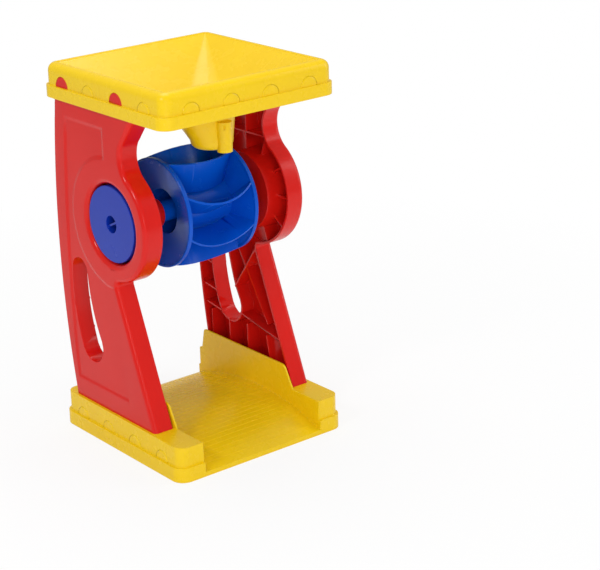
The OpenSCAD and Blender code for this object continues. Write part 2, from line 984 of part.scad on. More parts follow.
hopper_tray();
base_tray();
side_panel(-1);  // side_panel_left
side_panel(1);  // side_panel_right
scoop_drum();
wheel_disc(-1);  // wheel_disc_left
wheel_disc(1);  // wheel_disc_right
axle();
hub_cap(-1);  // hub_cap_left
hub_cap(1);  // hub_cap_right
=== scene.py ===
"""Sand wheel toy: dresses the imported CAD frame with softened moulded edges,
raised marks, ribs and gloss plastics, and sets up the studio.

X runs along the axle, -Y is the front, Z is up, lengths are in metres.
"""

import math

import bmesh
import bpy
from bpy.props import FloatProperty, FloatVectorProperty, IntProperty, PointerProperty
from mathutils import Matrix, Vector
from mathutils.bvhtree import BVHTree
from mathutils.geometry import intersect_point_line


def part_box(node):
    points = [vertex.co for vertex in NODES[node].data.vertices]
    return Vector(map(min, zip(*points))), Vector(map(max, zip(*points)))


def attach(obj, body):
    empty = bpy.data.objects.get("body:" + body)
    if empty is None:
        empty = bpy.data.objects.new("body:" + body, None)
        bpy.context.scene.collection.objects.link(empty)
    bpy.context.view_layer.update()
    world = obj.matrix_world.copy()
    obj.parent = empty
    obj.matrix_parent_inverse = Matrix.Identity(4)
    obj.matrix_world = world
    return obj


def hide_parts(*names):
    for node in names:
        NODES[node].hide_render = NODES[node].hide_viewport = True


bl_info = {
    "name": "Sand Wheel Toy",
    "version": (1, 0, 0),
    "blender": (4, 5, 0),
    "location": "View3D > Sidebar > Sand Wheel",
    "description": "Builds the finish of a sand wheel toy over its CAD frame",
    "category": "Object",
}

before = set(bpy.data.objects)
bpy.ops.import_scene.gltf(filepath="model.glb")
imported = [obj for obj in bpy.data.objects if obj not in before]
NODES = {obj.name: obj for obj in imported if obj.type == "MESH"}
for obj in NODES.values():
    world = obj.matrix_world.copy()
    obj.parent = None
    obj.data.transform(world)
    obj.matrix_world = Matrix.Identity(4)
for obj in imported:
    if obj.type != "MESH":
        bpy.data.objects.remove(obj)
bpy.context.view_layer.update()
HOPPER_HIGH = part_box("hopper_tray")[1]
BASE_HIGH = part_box("base_tray")[1]


def srgb(r, g, b):
    """A linear colour from 8-bit values."""

    def linear(v):
        v = v / 255
        return v / 12.92 if v <= 0.04045 else ((v + 0.055) / 1.055) ** 2.4

    return (linear(r), linear(g), linear(b), 1.0)


# Settings


class SANDWHEEL_PG_sizes(bpy.types.PropertyGroup):
    """Sizes that a user would change."""

    edge_width: FloatProperty(
        name="Edge width",
        description="Width of the small round on moulded edges",
        default=0.0005,
        min=0.0,
        max=0.0015,
        precision=5,
        subtype="DISTANCE",
        unit="LENGTH",
    )
    mark_radius: FloatProperty(
        name="Mark radius",
        description="Radius of the raised half rounds on the trays",
        default=0.0103,
        precision=4,
        subtype="DISTANCE",
        unit="LENGTH",
    )
    mark_pitch: FloatProperty(
        name="Mark pitch",
        description="Distance between neighbouring half rounds",
        default=0.045,
        precision=4,
        subtype="DISTANCE",
        unit="LENGTH",
    )
    mark_height: FloatProperty(
        name="Mark height",
        description="Thickness of the raised half rounds",
        default=0.0006,
        precision=5,
        subtype="DISTANCE",
        unit="LENGTH",
    )
    mark_slope: FloatProperty(
        name="Mark slope",
        description="Width of the sloping rim of a half round",
        default=0.0022,
        precision=5,
        subtype="DISTANCE",
        unit="LENGTH",
    )
    floor_rib_count: IntProperty(
        name="Floor ribs",
        description="Number of fine ribs across the run-off floor",
        default=30,
        min=2,
        max=60,
    )
    floor_rib_line: FloatProperty(
        name="Floor rib line",
        description="Radius of the raised line that draws a floor rib",
        default=0.00025,
        precision=5,
        subtype="DISTANCE",
        unit="LENGTH",
    )


class SANDWHEEL_PG_colours(bpy.types.PropertyGroup):
    """Colours of the plastics and the stage."""

    yellow: FloatVectorProperty(
        name="Yellow",
        description="Plastic of hopper and base",
        size=4,
        default=srgb(243, 205, 14),
        min=0.0,
        max=1.0,
        subtype="COLOR",
    )
    red: FloatVectorProperty(
        name="Red",
        description="Plastic of the side panels",
        size=4,
        default=srgb(217, 26, 18),
        min=0.0,
        max=1.0,
        subtype="COLOR",
    )
    blue: FloatVectorProperty(
        name="Blue",
        description="Plastic of the axle and the hub caps",
        size=4,
        default=srgb(14, 52, 170),
        min=0.0,
        max=1.0,
        subtype="COLOR",
    )
    # the same blue plastic as the hub caps, painted lighter on the scoop drum and wheel discs to
    # stand in for the light that falls on the wheel
    wheel_blue_painted_lighter: FloatVectorProperty(
        name="Wheel blue",
        description="Plastic of the scoop drum and the wheel discs",
        size=4,
        default=srgb(2, 84, 200),
        min=0.0,
        max=1.0,
        subtype="COLOR",
    )
    floor: FloatVectorProperty(
        name="Floor",
        description="Colour of the studio floor",
        size=4,
        default=(0.93, 0.93, 0.93, 1.0),
        min=0.0,
        max=1.0,
        subtype="COLOR",
    )


def context_sizes():
    """The sizes as the scene holds them."""
    return bpy.context.scene.sandwheel_sizes


# Node helpers


def feed(tree, node, inputs):
    """Gives a node's inputs plain values or the outputs of other nodes."""
    for key, value in inputs.items():
        if hasattr(value, "is_output"):
            tree.links.new(value, node.inputs[key])
        else:
            node.inputs[key].default_value = value


def add(tree, kind, inputs, **settings):
    """New node with its settings made before its inputs are fed."""
    node = tree.nodes.new(kind)
    for key, value in settings.items():
        setattr(node, key, value)
    feed(tree, node, inputs)
    return node


def math_node(tree, operation, a, b, clamp=False):
    """Result of a maths operation on two values or outputs."""
    node = add(tree, "ShaderNodeMath", {0: a, 1: b}, operation=operation, use_clamp=clamp)
    return node.outputs[0]


def noise_node(tree, vector, scale, detail, roughness):
    """A noise texture's factor."""
    inputs = {"Vector": vector, "Scale": scale, "Detail": detail, "Roughness": roughness}
    return add(tree, "ShaderNodeTexNoise", inputs).outputs["Fac"]


def range_node(tree, value, low, high, to_low=0.0, to_high=1.0):
    """A value's range from low to high, mapped to another range."""
    inputs = {
        "Value": value,
        "From Min": low,
        "From Max": high,
        "To Min": to_low,
        "To Max": to_high,
    }
    return add(tree, "ShaderNodeMapRange", inputs).outputs["Result"]


def group_sockets(tree, inputs, outputs):
    """Adds the named sockets of a node group."""
    for name, kind, value in inputs:
        socket = tree.interface.new_socket(name, in_out="INPUT", socket_type=kind)
        if value is not None:
            socket.default_value = value
    for name, kind in outputs:
        tree.interface.new_socket(name, in_out="OUTPUT", socket_type=kind)


# Materials

WHITE = (1.0, 1.0, 1.0, 1.0)
RUB = 0.03  # roughness that the rub marks add
GRAIN_SHARE = 0.12  # height of the fine grain beside that of the orange peel
RELIEF_STRENGTH = 0.035
RELIEF_DEPTH = 0.00012
PLASTIC_IOR = 1.5
FLOOR_GLOSS = 0.1
FLOOR_GLOW = 0.84  # share of plain white that a camera sees on the floor near the toy
FLOOR_NEAR = 0.25  # the share grows to 1 between these two distances from the toy
FLOOR_FAR = 0.8


def mould_group():
    """Shared finish of the moulded plastics: flow clouds, rub marks, haze and fine grain."""
    tree = bpy.data.node_groups.new("Mould finish", "ShaderNodeTree")
    group_sockets(
        tree,
        [
            ("Colour", "NodeSocketColor", (0.8, 0.8, 0.8, 1.0)),
            ("Deep colour", "NodeSocketColor", (0.6, 0.6, 0.6, 1.0)),
            ("Flow", "NodeSocketFloat", 0.25),
            ("Flow scale", "NodeSocketFloat", 14.0),
            ("Grain scale", "NodeSocketFloat", 2600.0),
            ("Polish", "NodeSocketFloat", 0.22),
            ("Rub", "NodeSocketFloat", 0.10),
        ],
        [
            ("Colour", "NodeSocketColor"),
            ("Roughness", "NodeSocketFloat"),
            ("Height", "NodeSocketFloat"),
        ],
    )
    source = tree.nodes.new("NodeGroupInput").outputs
    place = tree.nodes.new("ShaderNodeTexCoord").outputs["Object"]

    # flow clouds: the melt's slight change of depth across a moulding
    cloud = noise_node(tree, place, source["Flow scale"], detail=2.0, roughness=0.45)
    cloud = range_node(tree, cloud, low=0.35, high=0.65)
    share = math_node(tree, "MULTIPLY", cloud, source["Flow"], clamp=True)
    colour = add(
        tree,
        "ShaderNodeMix",
        {"Factor": share, "A": source["Colour"], "B": source["Deep colour"]},
        data_type="RGBA",
    )

    # rub marks: long soft streaks, in patches, from handling and stacking
    stretch = add(
        tree,
        "ShaderNodeMapping",
        {"Vector": place, "Rotation": (0.4, 0.9, 0.3), "Scale": (1.0, 11.0, 3.0)},
    )
    streak = noise_node(tree, stretch.outputs["Vector"], scale=46.0, detail=4.0, roughness=0.62)
    streak = range_node(tree, streak, low=0.55, high=0.75)
    patch = noise_node(tree, place, scale=22.0, detail=2.0, roughness=0.5)
    patch = range_node(tree, patch, low=0.45, high=0.62)
    marks = math_node(tree, "MULTIPLY", streak, patch)
    rub = math_node(tree, "MULTIPLY", marks, source["Rub"])

    # haze: the mould's polish isn't quite even
    haze = noise_node(tree, place, scale=70.0, detail=3.0, roughness=0.55)
    haze = range_node(tree, haze, low=0.3, high=0.7, to_low=-0.03, to_high=0.04)
    polish = math_node(tree, "ADD", source["Polish"], haze)

    # relief: orange peel of the gloss mould and a fine grain
    peel = noise_node(tree, place, scale=190.0, detail=1.0, roughness=0.4)
    grain = noise_node(tree, place, source["Grain scale"], detail=2.0, roughness=0.5)
    grain = math_node(tree, "MULTIPLY", grain, GRAIN_SHARE)

    add(
        tree,
        "NodeGroupOutput",
        {
            "Colour": colour.outputs["Result"],
            "Roughness": math_node(tree, "ADD", polish, rub, clamp=True),
            "Height": math_node(tree, "ADD", peel, grain),
        },
    )
    return tree


def plastic(name, group, colour, deep, flow, polish, gloss):
    """Gloss moulded plastic.

    deep is its colour where the melt lies thick and flow that colour's share, polish is
    the roughness, and gloss the strength of what it mirrors.
    """
    mat = bpy.data.materials.new(name)
    mat.use_nodes = True
    mat.diffuse_color = colour
    tree = mat.node_tree
    finish = add(
        tree,
        "ShaderNodeGroup",
        {"Colour": colour, "Deep colour": deep, "Flow": flow, "Polish": polish, "Rub": RUB},
        node_tree=group,
    )
    bump = add(
        tree,
        "ShaderNodeBump",
        {
            "Strength": RELIEF_STRENGTH,
            "Distance": RELIEF_DEPTH,
            "Height": finish.outputs["Height"],
        },
    )
    feed(
        tree,
        tree.nodes["Principled BSDF"],
        {
            "Base Color": finish.outputs["Colour"],
            "Roughness": finish.outputs["Roughness"],
            "Normal": bump.outputs["Normal"],
            "IOR": PLASTIC_IOR,
            "Specular IOR Level": gloss,
        },
    )
    return mat


def floor_material(colour):
    """Pale studio floor: it keeps the toy's soft shadow and turns white with distance."""
    mat = bpy.data.materials.new("studio_floor")
    mat.use_nodes = True
    tree = mat.node_tree
    shader = tree.nodes["Principled BSDF"]
    place = tree.nodes.new("ShaderNodeTexCoord").outputs["Object"]
    cloud = noise_node(tree, place, scale=3.0, detail=2.0, roughness=0.5)
    feed(
        tree,
        shader,
        {
            "Base Color": colour,
            "Roughness": range_node(tree, cloud, low=0.3, high=0.7, to_low=0.45, to_high=0.55),
            "Specular IOR Level": FLOOR_GLOSS,
        },
    )
    glow = add(tree, "ShaderNodeEmission", {"Color": WHITE, "Strength": 1.0})
    path = tree.nodes.new("ShaderNodeLightPath")
    reach = add(tree, "ShaderNodeVectorMath", {0: place}, operation="LENGTH")
    share = range_node(tree, reach.outputs["Value"], FLOOR_NEAR, FLOOR_FAR, FLOOR_GLOW, 1.0)
    share = math_node(tree, "MULTIPLY", path.outputs["Is Camera Ray"], share)
    mix = add(
        tree,
        "ShaderNodeMixShader",
        {0: share, 1: shader.outputs["BSDF"], 2: glow.outputs["Emission"]},
    )
    feed(tree, tree.nodes["Material Output"], {"Surface": mix.outputs["Shader"]})
    return mat


MATERIALS = {}


def materials():
    """The plastics, built once from the scene's colours."""
    if not MATERIALS:
        c = bpy.context.scene.sandwheel_colours
        group = mould_group()
        # look, colour, deep colour, flow, polish and gloss
        for look, colour, *finish in (
            ("yellow_plastic", c.yellow, srgb(240, 190, 4), 0.20, 0.26, 0.35),
            ("red_plastic", c.red, srgb(200, 12, 8), 0.25, 0.20, 0.30),
            ("blue_plastic", c.blue, srgb(18, 40, 154), 0.25, 0.24, 0.35),
            # the wheel's copy of the blue is painted lighter than the caps' blue: painted light on
            # the drum and discs
            ("wheel_plastic", c.wheel_blue_painted_lighter, srgb(4, 74, 186), 0.25, 0.24, 0.22),
        ):
            MATERIALS[look] = plastic(look + "_finish", group, tuple(colour), *finish)
    return MATERIALS


# Objects


def new_object(name, data):
    """Object at the origin, linked to the scene."""
    obj = bpy.data.objects.new(name, data)
    bpy.context.scene.collection.objects.link(obj)
    return obj


def settle(obj, body):
    """The piece rides on its body."""
    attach(obj, body)


def bake(obj):
    """Applies every modifier: the evaluated mesh becomes the object's own."""
    depsgraph = bpy.context.evaluated_depsgraph_get()
    mesh = bpy.data.meshes.new_from_object(
        obj.evaluated_get(depsgraph), preserve_all_data_layers=True, depsgraph=depsgraph
    )
    obj.modifiers.clear()
    old = obj.data
    obj.data = mesh
    bpy.data.meshes.remove(old)


# Flat faces of a merged CAD mesh

FLAT_COSINE = 0.99995  # normals this near each other are of one plane
FLAT_DEPTH = 0.00001  # and so are vertices that lie off it by less than this
SLIVER_WIDTH = 0.0006  # flat groups with less mean width are slivers
SLIVER_AREA = 0.000001  # slivers over this area keep their edges sharp


def flat_groups(bm):
    """Connected faces that lie in one plane, as lists."""
    seen = set()
    groups = []
    for start in bm.faces:
        if start in seen:
            continue
        normal, point = start.normal.copy(), start.verts[0].co.copy()
        seen.add(start)
        group, front = [start], [start]
        while front:
            face = front.pop()
            for edge in face.edges:
                if len(edge.link_faces) != 2:
                    continue
                for other in edge.link_faces:
                    if other in seen or other.normal.dot(normal) < FLAT_COSINE:
                        continue
                    if all(abs((v.co - point).dot(normal)) < FLAT_DEPTH for v in other.verts):
                        seen.add(other)
                        group.append(other)
                        front.append(other)
        groups.append(group)
    return groups


def rim_edges(group):
    """Edges round a group of faces."""
    inside = set(group)
    return [e for f in group for e in f.edges if sum(g in inside for g in e.link_faces) == 1]


def rim_loops(rim):
    """Number of closed outlines that rim edges form, or 0 where outlines touch."""
    links = {}
    for edge in rim:
        for vert, other in (edge.verts, reversed(edge.verts)):
            links.setdefault(vert, []).append(other)
    if any(len(v) != 2 for v in links.values()):
        return 0
    loops, seen = 0, set()
    for vert in links:
        if vert not in seen:
            loops += 1
            front = [vert]
            while front:
                at = front.pop()
                if at not in seen:
                    seen.add(at)
                    front.extend(links[at])
    return loops


def rejoin_flats(bm):
    """Every plane face without holes becomes one polygon again, apart from slivers.

    The edges of the larger slivers are tagged, and stay sharp later.
    """
    for edge in bm.edges:
        edge.tag = False
    for group in flat_groups(bm):
        rim = rim_edges(group)
        area = sum(face.calc_area() for face in group)
        if 2 * area < SLIVER_WIDTH * sum(edge.calc_length() for edge in rim):
            for edge in rim:
                edge.tag = area > SLIVER_AREA
        elif len(group) > 1 and rim_loops(rim) == 1:
            bmesh.utils.face_join(group)


# Rounds on the sharp edges

SHARP_ANGLE = math.radians(32.0)
NO_BEND = 0.002  # radians: two faces that bend less go on as one
STEEP_TURN = 0.7  # sine of the turn under which a sharp neighbour carries the edge on
ROOM_SHARE = 0.45  # of a face's width that one of its rounds may take
LEAST_ROUND = 0.0001
SEGMENTS = 2
WIDE_SEGMENTS = 3  # on a piece that also has wide rounds
ROUNDING_TRIES = 8
STRAY_SHARE = 0.6  # of the round's width that it may stand off the moulding
FOLD_COSINE = -0.3  # against the moulding's normal, under which a triangle is folded over
LEAST_TRIANGLE = 0.00000002
VERTEX_REACH = 0.003  # edges this near a stray vertex become sharp, more with every try
FACE_REACH = 0.001  # the same for the corners of a stray or folded triangle
FLAT_LEAD = 60  # weight of large faces in the normals
WELD_GAP = 0.000004  # vertices of the loose CAD triangles this near are one
SPECK_GAP = 0.000002  # edges shorter than this are dissolved


def edge_room(edge):
    """How wide a round the faces beside a sharp edge leave room for."""
    a, b = edge.verts
    run = (b.co - a.co).normalized()
    room = math.inf
    for loop in edge.link_loops:
        for side in (loop.link_loop_prev, loop.link_loop_next):
            bend = side.edge.calc_face_angle(0.0)
            if bend < NO_BEND:
                continue
            shared = a if a in side.edge.verts else b
            away = side.edge.other_vert(shared).co - shared.co
            across = away.cross(run).length
            if bend > SHARP_ANGLE and across < STEEP_TURN * away.length:
                continue
            room = min(room, ROOM_SHARE * across)
    return room


def weigh_edges(bm, width, wide):
    """Bevel weights: every sharp edge gets as much of the width as it has room for.

    Returns the width that a weight of 1 stands for.
    """
    layer = bm.edges.layers.float.new("bevel_weight_edge")
    is_wide, wide_width = wide or (lambda edge: False, 0.0)
    broad = max(width, wide_width)
    for edge in bm.edges:
        if len(edge.link_faces) != 2:
            continue
        if is_wide(edge):
            edge[layer] = wide_width / broad
        elif edge.calc_face_angle(0.0) > SHARP_ANGLE:
            share = min(edge_room(edge), width) / broad
            if share * broad > LEAST_ROUND and not edge.tag:
                edge[layer] = share
            else:
                edge.smooth = False
    return broad


def stray_places(piece, skin, width, tries):
    """Places where the rounds leave the moulding's skin or fold over, each with its reach."""
    finished = piece.evaluated_get(bpy.context.evaluated_depsgraph_get())
    rounded = finished.to_mesh()
    stray = []
    for vert in rounded.vertices:
        gap = skin.find_nearest(vert.co)[3]
        if gap > STRAY_SHARE * width:
            stray.append((vert.co.copy(), gap + VERTEX_REACH * tries))
    rounded.calc_loop_triangles()
    for triangle in rounded.loop_triangles:
        if triangle.area > LEAST_TRIANGLE:
            places = [rounded.vertices[i].co.copy() for i in triangle.vertices]
            _, outward, _, gap = skin.find_nearest(sum(places, Vector()) / 3)
            if gap > STRAY_SHARE * width or triangle.normal.dot(outward) < FOLD_COSINE:
                stray.extend((place, FACE_REACH * tries) for place in places)
    finished.to_mesh_clear()
    return stray


def segment_gap(place, a, b):
    """Distance of a place from the stretch between a and b."""
    near, share = intersect_point_line(place, a, b)
    if share < 0.0:
        near = a
    elif share > 1.0:
        near = b
    return (place - near).length


def round_edges(piece, width, segments):
    """Bevels by weight. Edges whose round would run off the moulding or fold stay sharp."""
    bevel = piece.modifiers.new("Soft edges", "BEVEL")
    bevel.width = width
    bevel.segments = segments
    bevel.limit_method = "WEIGHT"
    bevel.use_clamp_overlap = False
    bevel.miter_outer = "MITER_SHARP"
    mesh = piece.data
    skin = BVHTree.FromPolygons(
        [v.co for v in mesh.vertices], [p.vertices[:] for p in mesh.polygons]
    )
    weights = mesh.attributes["bevel_weight_edge"].data
    for tries in range(1, ROUNDING_TRIES + 1):
        stray = stray_places(piece, skin, width, tries)
        if not stray:
            break
        for edge, weight in zip(mesh.edges, weights):
            if weight.value > 0.0:
                a, b = (mesh.vertices[i].co for i in edge.vertices)
                if any(segment_gap(place, a, b) < reach for place, reach in stray):
                    weight.value = 0.0
                    edge.use_edge_sharp = True
        mesh.update()
    normals = piece.modifiers.new("Flat faces lead", "WEIGHTED_NORMAL")
    normals.mode = "FACE_AREA"
    normals.weight = FLAT_LEAD
    normals.keep_sharp = True
    bake(piece)


def keep_inside(mesh, low, high):
    """Pulls vertices that a mitre pushed out back onto the node's box."""
    for vert in mesh.vertices:
        vert.co = [min(max(c, a), b) for c, a, b in zip(vert.co, low, high)]


def dressed_node(node, slot_name, body, share=1.0, reshape=None, wide=None, look=None):
    """A CAD node's stand-in: its mesh merged, its sharp edges rounded.

    share is the part of the edge width that suits the piece. reshape(bm) may form it
    first, wide is a test for edges with a width of their own and that width, and look
    names the material where it isn't the slot's.
    """
    mesh = NODES[node].data.copy()
    mesh.name = node + "_moulding"
    low = [min(v.co[i] for v in mesh.vertices) for i in range(3)]
    high = [max(v.co[i] for v in mesh.vertices) for i in range(3)]
    if "custom_normal" in mesh.attributes:
        mesh.attributes.remove(mesh.attributes["custom_normal"])
    bm = bmesh.new()
    bm.from_mesh(mesh)
    bmesh.ops.remove_doubles(bm, verts=bm.verts, dist=WELD_GAP)
    bmesh.ops.dissolve_degenerate(bm, edges=bm.edges, dist=SPECK_GAP)
    rejoin_flats(bm)
    if reshape:
        reshape(bm)
    for face in bm.faces:
        face.smooth = True
    bm.normal_update()
    width = weigh_edges(bm, context_sizes().edge_width * share, wide)
    bm.to_mesh(mesh)
    bm.free()
    mesh.materials.clear()
    mesh.materials.append(materials()[look or slot_name])
    piece = new_object(node + "_moulding", mesh)
    round_edges(piece, width, WIDE_SEGMENTS if wide else SEGMENTS)
    keep_inside(piece.data, low, high)
    settle(piece, body)
    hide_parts(node)


# Geometry node trees

MARK_ARC_POINTS = 25
MARK_WELD = 0.00001
RIB_SIDES = 8


def geometry_tree(name, inputs):
    """Empty geometry tree with named inputs beside its geometry, and a geometry output."""
    tree = bpy.data.node_groups.new(name, "GeometryNodeTree")
    group_sockets(
        tree,
        [("Geometry", "NodeSocketGeometry", None)] + inputs,
        [("Geometry", "NodeSocketGeometry")],
    )
    return tree


def socket_id(tree, name):
    """Identifier of a tree's named input."""
    for item in tree.interface.items_tree:
        if item.item_type == "SOCKET" and item.in_out == "INPUT" and item.name == name:
            return item.identifier
    raise KeyError(name)


def both_ways(tree, axis, half):
    """Vectors of a half length along an axis, backward and forward."""
    back = add(tree, "ShaderNodeCombineXYZ", {axis: math_node(tree, "MULTIPLY", half, -1.0)})
    forth = add(tree, "ShaderNodeCombineXYZ", {axis: half})
    return back.outputs["Vector"], forth.outputs["Vector"]


def copies(tree, mesh, piece, rotation=(0.0, 0.0, 0.0)):
    """Real copies of a piece at the vertices of a mesh."""
    points = add(tree, "GeometryNodeMeshToPoints", {"Mesh": mesh})
    place = add(
        tree,
        "GeometryNodeInstanceOnPoints",
        {"Points": points.outputs["Points"], "Instance": piece, "Rotation": rotation},
    )
    real = add(tree, "GeometryNodeRealizeInstances", {"Geometry": place.outputs["Instances"]})
    return real.outputs["Geometry"]


def paint(tree, geometry, material):
    """Ends a tree: the geometry in its material goes to the output."""
    node = add(tree, "GeometryNodeSetMaterial", {"Geometry": geometry, "Material": material})
    add(tree, "NodeGroupOutput", {"Geometry": node.outputs["Geometry"]})


def grown(name, tree, values, body, points=()):
    """Piece whose mesh a geometry tree makes, baked to a plain mesh.

    points are the places that the tree starts from, each with the turn of its copy.
    """
    mesh = bpy.data.meshes.new(name)
    mesh.from_pydata([place for place, _ in points], [], [])
    turn = mesh.attributes.new("turn", "FLOAT_VECTOR", "POINT")
    for i, (_, angles) in enumerate(points):
        turn.data[i].vector = angles
    obj = new_object(name, mesh)
    modifier = obj.modifiers.new("Grow", "NODES")
    modifier.node_group = tree
    for key, value in values.items():
        modifier[socket_id(tree, key)] = value
    bake(obj)
    settle(obj, body)


def half_round_tree():
    """Raised half rounds: a thin half disc with a sloping rim, set at every point by its turn."""
    tree = geometry_tree(
        "Raised half rounds",
        [
            ("Radius", "NodeSocketFloat", 0.01),
            ("Height", "NodeSocketFloat", 0.0006),
            ("Slope", "NodeSocketFloat", 0.0012),
            ("Material", "NodeSocketMaterial", None),
        ],
    )
    source = tree.nodes.new("NodeGroupInput").outputs

    # the half disc, its upper face drawn in to slope the rim
    arc = add(
        tree,
        "GeometryNodeCurveArc",
        {
            "Resolution": MARK_ARC_POINTS,
            "Radius": source["Radius"],
            "Start Angle": 0.0,
            "Sweep Angle": math.pi,
        },
        mode="RADIUS",
    )
    ring = add(
        tree, "GeometryNodeSetSplineCyclic", {"Geometry": arc.outputs["Curve"], "Cyclic": True}
    )
    disc = add(tree, "GeometryNodeFillCurve", {"Curve": ring.outputs["Geometry"]}, mode="NGONS")
    rise = add(
        tree,
        "GeometryNodeExtrudeMesh",
        {"Mesh": disc.outputs["Mesh"], "Offset Scale": source["Height"], "Individual": False},
    )
    centre = add(tree, "ShaderNodeCombineXYZ", {"Z": source["Height"]})
    slope_share = math_node(tree, "DIVIDE", source["Slope"], source["Radius"])
    draw_in = add(
        tree,
        "GeometryNodeScaleElements",
        {
            "Geometry": rise.outputs["Mesh"],
            "Selection": rise.outputs["Top"],
            "Scale": math_node(tree, "SUBTRACT", 1.0, slope_share),
            "Center": centre.outputs["Vector"],
        },
    )
    smooth = add(
        tree,
        "GeometryNodeSetShadeSmooth",
        {"Geometry": draw_in.outputs["Geometry"], "Selection": rise.outputs["Side"]},
    )

    # closed below by the disc turned over
    below = add(tree, "GeometryNodeFlipFaces", {"Mesh": disc.outputs["Mesh"]})
    both = add(tree, "GeometryNodeJoinGeometry", {"Geometry": smooth.outputs["Geometry"]})
    feed(tree, both, {"Geometry": below.outputs["Mesh"]})
    weld = add(
        tree,
        "GeometryNodeMergeByDistance",
        {"Geometry": both.outputs["Geometry"], "Distance": MARK_WELD},
    )

    turn = add(tree, "GeometryNodeInputNamedAttribute", {"Name": "turn"}, data_type="FLOAT_VECTOR")
    rotation = add(tree, "FunctionNodeEulerToRotation", {"Euler": turn.outputs["Attribute"]})
    marks = copies(
        tree, source["Geometry"], weld.outputs["Geometry"], rotation.outputs["Rotation"]
    )
    paint(tree, marks, source["Material"])
    return tree


def half_rounds(name, places):
    """Raised half rounds on a tray: places are (x, y, z, turn about Z)."""
    sizes = context_sizes()
    grown(
        name,
        half_round_tree(),
        {
            "Radius": sizes.mark_radius,
            "Height": sizes.mark_height,
            "Slope": sizes.mark_slope,
            "Material": materials()["yellow_plastic"],
        },
        "frame",
        [((x, y, z), (math.pi / 2, 0.0, turn)) for x, y, z, turn in places],
    )


def floor_rib_tree():
    """Fine ribs across a domed floor: lines along X, laid on the crown's arc."""
    tree = geometry_tree(
        "Floor ribs",
        [
            ("Count", "NodeSocketInt", 10),
            ("Half width", "NodeSocketFloat", 0.06),
            ("Half run", "NodeSocketFloat", 0.09),
            ("Arc radius", "NodeSocketFloat", 0.3),
            ("Crown", "NodeSocketFloat", 0.02),
            ("Line", "NodeSocketFloat", 0.0005),
            ("Material", "NodeSocketMaterial", None),
        ],
    )
    source = tree.nodes.new("NodeGroupInput").outputs

    # one rib, a thin bar along X with a round section
    start, end = both_ways(tree, "X", source["Half width"])
    bar = add(tree, "GeometryNodeCurvePrimitiveLine", {"Start": start, "End": end})
    ring = add(
        tree,
        "GeometryNodeCurvePrimitiveCircle",
        {"Resolution": RIB_SIDES, "Radius": source["Line"]},
    )
    rib = add(
        tree,
        "GeometryNodeCurveToMesh",
        {
            "Curve": bar.outputs["Curve"],
            "Profile Curve": ring.outputs["Curve"],
            "Fill Caps": True,
        },
    )

    # its places along the run, lifted onto the arc
    start, end = both_ways(tree, "Y", source["Half run"])
    row = add(
        tree,
        "GeometryNodeMeshLine",
        {"Count": source["Count"], "Start Location": start, "Offset": end},
        mode="END_POINTS",
    )
    position = tree.nodes.new("GeometryNodeInputPosition").outputs["Position"]
    along = add(tree, "ShaderNodeSeparateXYZ", {"Vector": position}).outputs["Y"]
    radius_square = math_node(tree, "MULTIPLY", source["Arc radius"], source["Arc radius"])
    along_square = math_node(tree, "MULTIPLY", along, along)
    height_square = math_node(tree, "SUBTRACT", radius_square, along_square)
    above_centre = math_node(tree, "SQRT", height_square, 0.0)
    centre = math_node(tree, "SUBTRACT", source["Crown"], source["Arc radius"])
    lift = add(tree, "ShaderNodeCombineXYZ", {"Z": math_node(tree, "ADD", above_centre, centre)})
    domed_row = add(
        tree,
        "GeometryNodeSetPosition",
        {"Geometry": row.outputs["Mesh"], "Offset": lift.outputs["Vector"]},
    )
    ribs = copies(tree, domed_row.outputs["Geometry"], rib.outputs["Mesh"])
    smooth = add(tree, "GeometryNodeSetShadeSmooth", {"Geometry": ribs})
    paint(tree, smooth.outputs["Geometry"], source["Material"])
    return tree


# The trays

MARK_SEAT = 0.0026  # back of a half round, in from the tray's rim: 0.1 mm inside its wall
MARK_STEPS = (-1.5, -0.5, 0.5, 1.5)  # half rounds along a side, in pitches from its middle
WINDOW_SIDE_STEPS = (-1.5, 0.5)  # the same on the hopper's two sides with windows
HOPPER_MARK_DROP = 0.021  # flat side of a half round under the hopper's top
BASE_MARK_HEIGHT = 0.0145  # flat side of a half round over the ground
FLOOR_CROWN = 0.023  # height of the domed floor in its middle
FLOOR_LIP = 0.005  # and at its ends
FLOOR_RIB_HALF = 0.062  # half of a rib's length
FLOOR_RIB_MARGIN = 0.010  # between the outermost ribs and the floor's ends


class SANDWHEEL_OT_hopper(bpy.types.Operator):
    """Hopper tray with its raised half rounds."""

    bl_idname = "sandwheel.hopper"
    bl_label = "Hopper tray"

    def execute(self, context):
        dressed_node("hopper_tray", "yellow_plastic", "frame")
        wall = HOPPER_HIGH.x - MARK_SEAT
        foot = HOPPER_HIGH.z - HOPPER_MARK_DROP
        pitch = context_sizes().mark_pitch
        places = []
        for step in MARK_STEPS:
            places.append((step * pitch, -wall, foot, 0.0))
            places.append((step * pitch, wall, foot, math.pi))
        for step in WINDOW_SIDE_STEPS:
            places.append((wall, step * pitch, foot, math.pi / 2))
            places.append((-wall, step * pitch, foot, -math.pi / 2))
        half_rounds("hopper_half_rounds", places)
        return {"FINISHED"}


